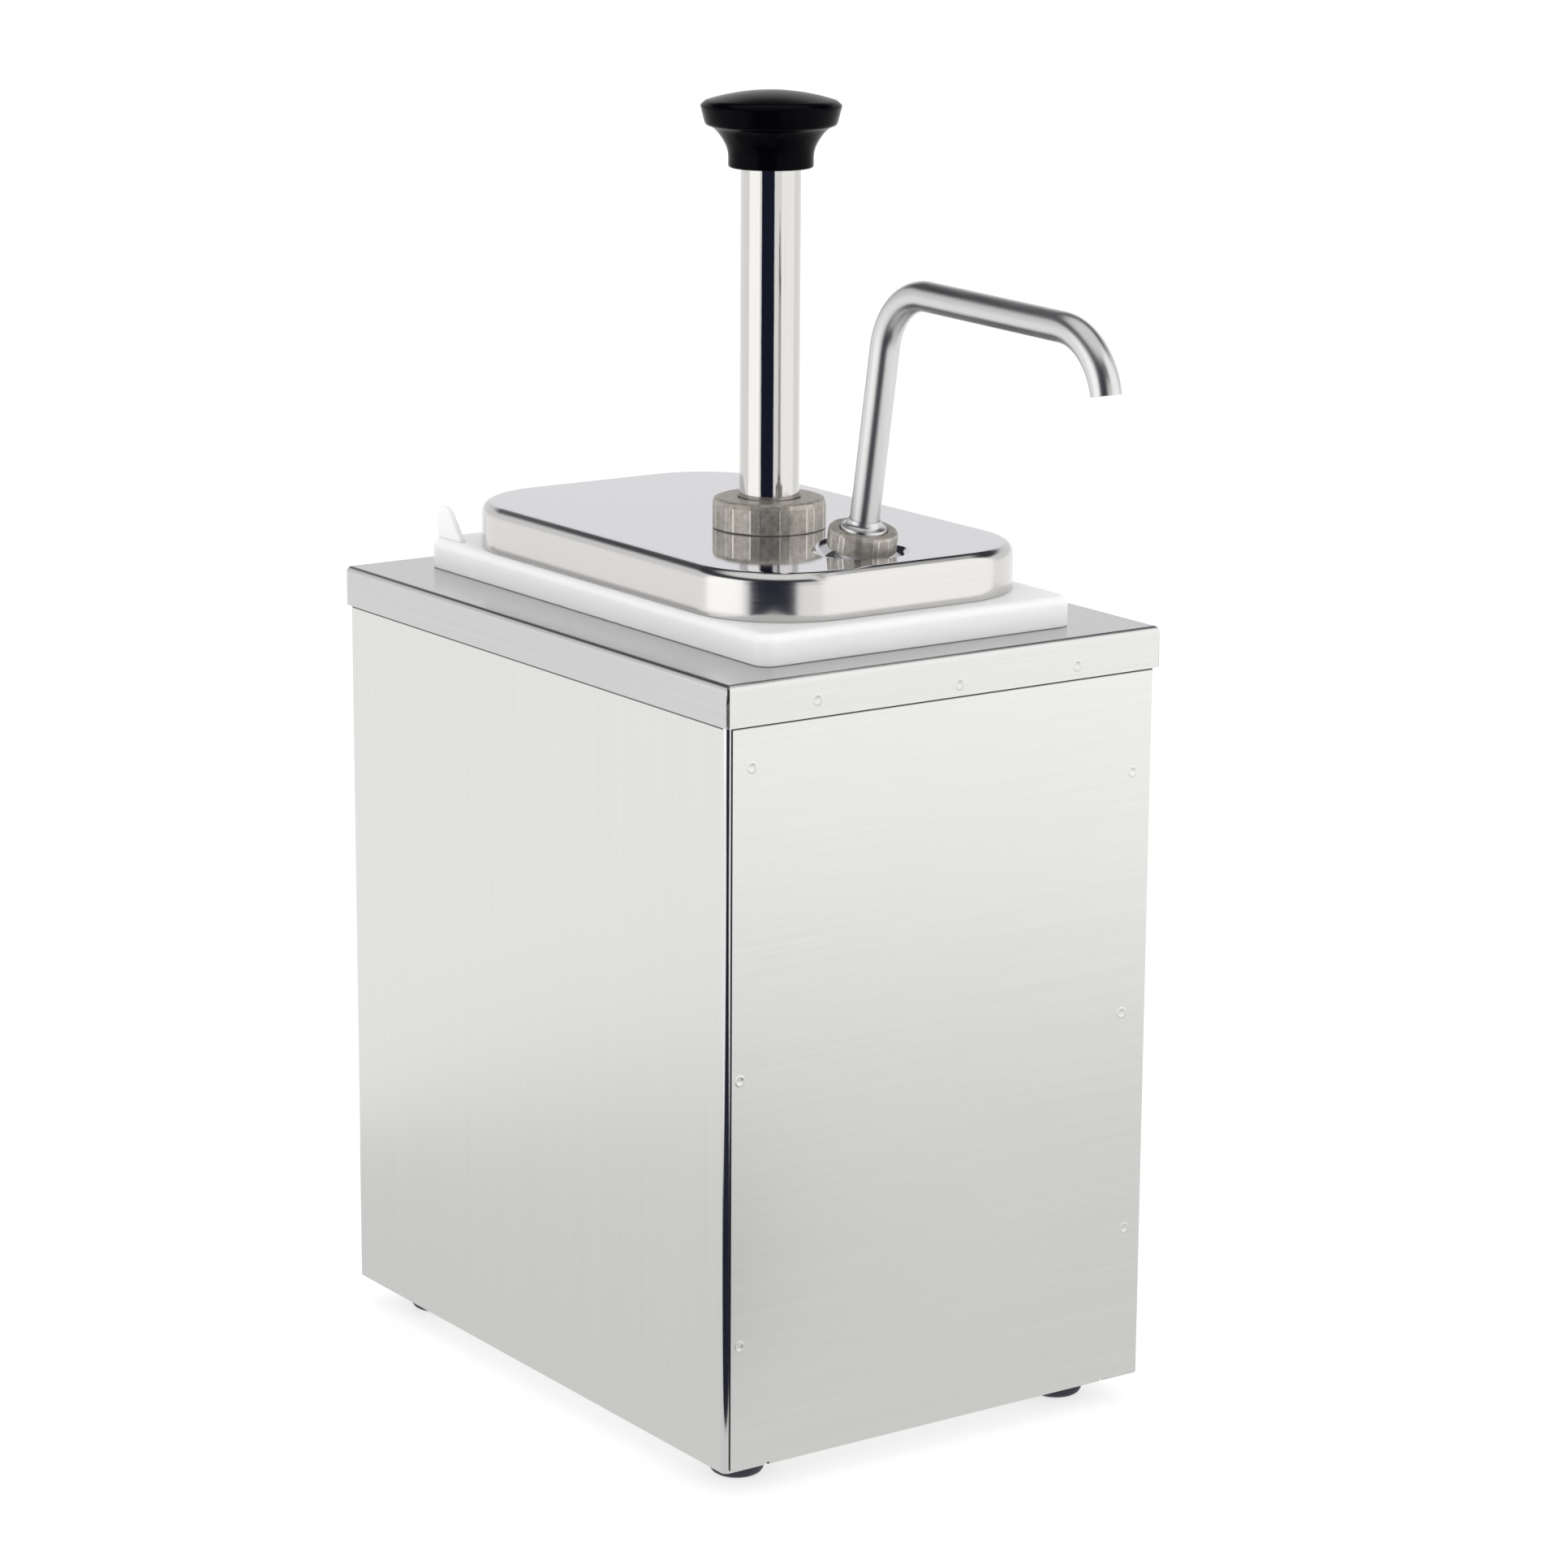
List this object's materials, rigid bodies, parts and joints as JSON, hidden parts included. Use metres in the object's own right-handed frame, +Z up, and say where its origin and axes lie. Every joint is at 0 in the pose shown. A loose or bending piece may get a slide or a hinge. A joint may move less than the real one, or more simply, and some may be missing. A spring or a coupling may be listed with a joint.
{
  "type": "pump dispenser",
  "caption": "Tabletop sauce pump dispenser: box-shaped steel cabinet on rubber feet, lift-out plastic jar, steel lid with a knob-topped plunger and a bent outlet tube.",
  "frame": {"origin": "on the counter, under the middle of the object's bounding box", "axes": "+Z up, the front with the outlet tube faces -Y, +X to the right seen from the front"},
  "size_m": [0.18, 0.3334, 0.4611],
  "materials": {
    "brushed_steel": "brushed",
    "sheet_steel": "mill",
    "lid_steel": "polished",
    "polished_tube": "mirror polished steel",
    "plain_steel": "machined",
    "cast_metal": "as cast, tumbled",
    "white_plastic": "satin",
    "black_plastic": "glossy",
    "white_nylon": "matte",
    "foot_rubber": "moulded",
    "seal_rubber": "moulded",
    "brass_insert": "machined"
  },
  "bodies": {
    "cabinet": {"cabinet_wrap": "brushed_steel", "front_panel": "brushed_steel", "top_cover": "brushed_steel", "base_plate": "sheet_steel", "foot_front_left": "foot_rubber", "foot_front_right": "foot_rubber", "foot_back_left": "foot_rubber", "foot_back_right": "foot_rubber", "foot_screws": "plain_steel", "foot_washers": "plain_steel", "foot_nuts": "plain_steel"},
    "jar": {"jar": "white_plastic"},
    "pump": {"lid": "lid_steel", "lid_gasket": "seal_rubber", "pump_barrel": "plain_steel", "pump_nut": "cast_metal", "guide_bush": "white_nylon", "manifold": "cast_metal", "inlet_nozzle": "plain_steel", "nozzle_oring": "seal_rubber", "spring_seat": "plain_steel", "return_spring": "plain_steel", "riser_tube": "polished_tube", "discharge_fitting": "plain_steel", "fitting_gasket": "seal_rubber", "discharge_washer": "seal_rubber", "discharge_ferrule": "polished_tube", "discharge_tube": "polished_tube", "discharge_nut": "cast_metal"},
    "plunger": {"knob": "black_plastic", "knob_insert": "brass_insert", "tube_plug": "plain_steel", "plunger_tube": "polished_tube", "stop_collar": "plain_steel", "piston": "white_nylon", "piston_seal": "seal_rubber", "piston_screw": "plain_steel"},
    "inlet_ball": {"inlet_ball": "polished_tube"},
    "outlet_ball": {"outlet_ball": "polished_tube"}
  },
  "joints": [
    {"name": "jar_lift", "type": "slide", "parent": "cabinet", "child": "jar", "axis": [0, 0, 1], "range_m": [0, 0.21]},
    {"name": "lid_lift", "type": "slide", "parent": "jar", "child": "pump", "axis": [0, 0, 1], "range_m": [0, 0.21]},
    {"name": "pump_stroke", "type": "slide", "parent": "pump", "child": "plunger", "axis": [0, 0, -1], "range_m": [0, 0.06], "stiffness_N_per_m": 600, "springref_m": -0.03, "deforming": ["return_spring"]},
    {"name": "inlet_ball_lift", "type": "slide", "parent": "pump", "child": "inlet_ball", "axis": [0, 0, 1], "range_m": [0, 0.003]},
    {"name": "outlet_ball_lift", "type": "slide", "parent": "pump", "child": "outlet_ball", "axis": [0, -0.1736, 0.9848], "range_m": [0, 0.003]}
  ]
}
